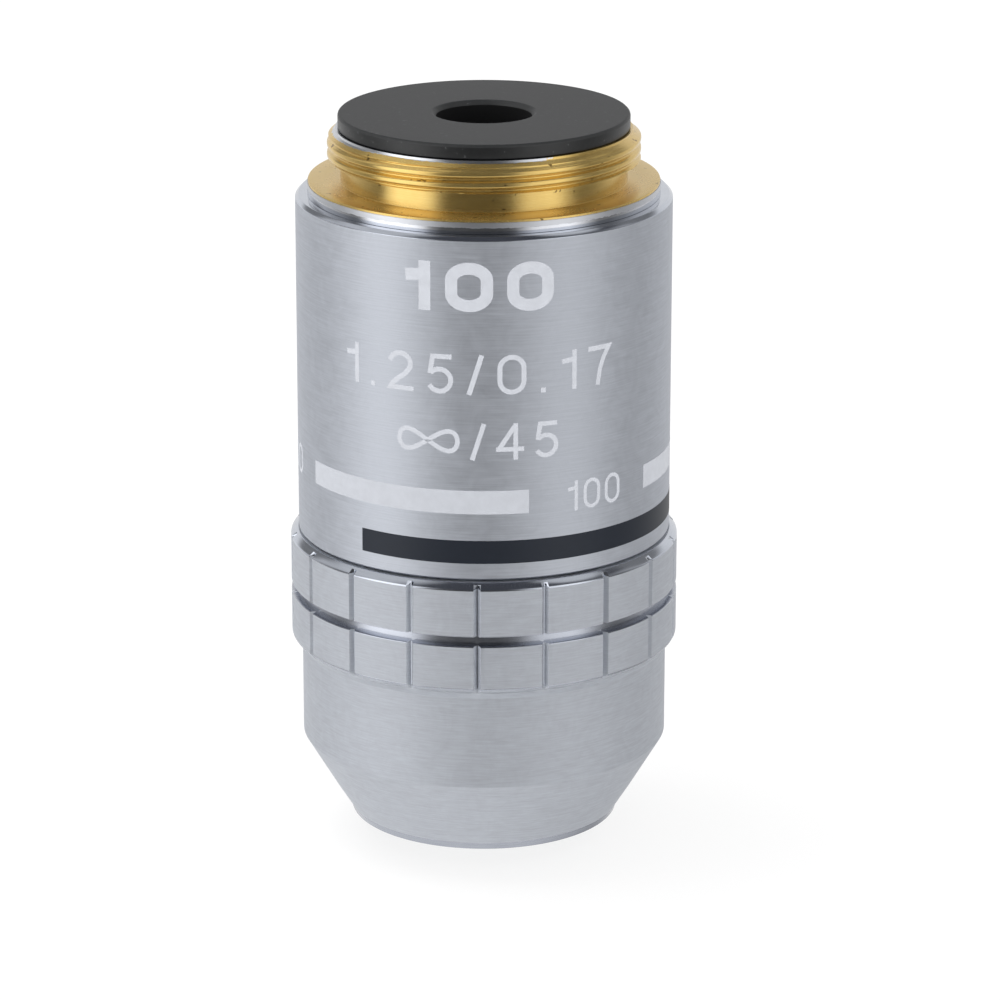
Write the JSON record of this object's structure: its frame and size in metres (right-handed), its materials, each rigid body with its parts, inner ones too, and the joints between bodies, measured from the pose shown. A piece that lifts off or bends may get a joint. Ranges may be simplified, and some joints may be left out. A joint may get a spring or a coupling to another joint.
{
  "type": "microscope objective",
  "caption": "Spring-loaded high-power oil immersion microscope objective with a knurled chromed sleeve, brass mounting thread and black rear stop.",
  "frame": {"origin": "centre of the flat front face of the nose, which it stands on", "axes": "+Z along the optical axis, from the front lens towards the mounting thread; -Y is the side with the figures"},
  "size_m": [0.0256, 0.0254, 0.049],
  "materials": {
    "satin_chrome": "satin chrome plate over fine turning marks",
    "turned_brass": "bare turned brass, bright",
    "black_plastic": "moulded, matt",
    "blackened_brass": "matt black oxide",
    "steel": "drawn and turned steel",
    "crown_glass": "polished, coated",
    "flint_glass": "polished, coated",
    "white_paint": "white enamel in the engraved figures and the white bands",
    "black_paint": "black enamel in the immersion band"
  },
  "bodies": {
    "housing": {"body_tube": "turned_brass", "outer_barrel": "satin_chrome", "front_sleeve": "satin_chrome", "thread_mount": "turned_brass", "rear_stop": "black_plastic", "parfocal_ring": "turned_brass", "parfocal_lock_ring": "turned_brass", "guide_screw": "steel", "spring": "steel"},
    "lens_unit": {"lens_carrier": "turned_brass", "nose_cell": "satin_chrome", "front_lens": "crown_glass", "meniscus_cell": "blackened_brass", "meniscus_lens": "crown_glass", "front_spacer": "blackened_brass", "first_doublet_cell": "blackened_brass", "first_doublet_flint": "flint_glass", "first_doublet_crown": "crown_glass", "spacer_1": "blackened_brass", "second_doublet_cell": "blackened_brass", "second_doublet_flint": "flint_glass", "second_doublet_crown": "crown_glass", "spacer_2": "blackened_brass", "lower_meniscus_cell": "blackened_brass", "lower_meniscus_lens": "flint_glass", "spacer_3": "blackened_brass", "upper_meniscus_cell": "blackened_brass", "upper_meniscus_lens": "flint_glass", "aperture_stop": "blackened_brass", "stack_lock_ring": "blackened_brass"}
  },
  "joints": [
    {"name": "nose_retract", "type": "slide", "parent": "housing", "child": "lens_unit", "axis": [0, 0, 1], "range_m": [0, 0.0025], "stiffness_N_per_m": 490, "springref_m": -0.0075, "deforming": ["spring"]}
  ]
}
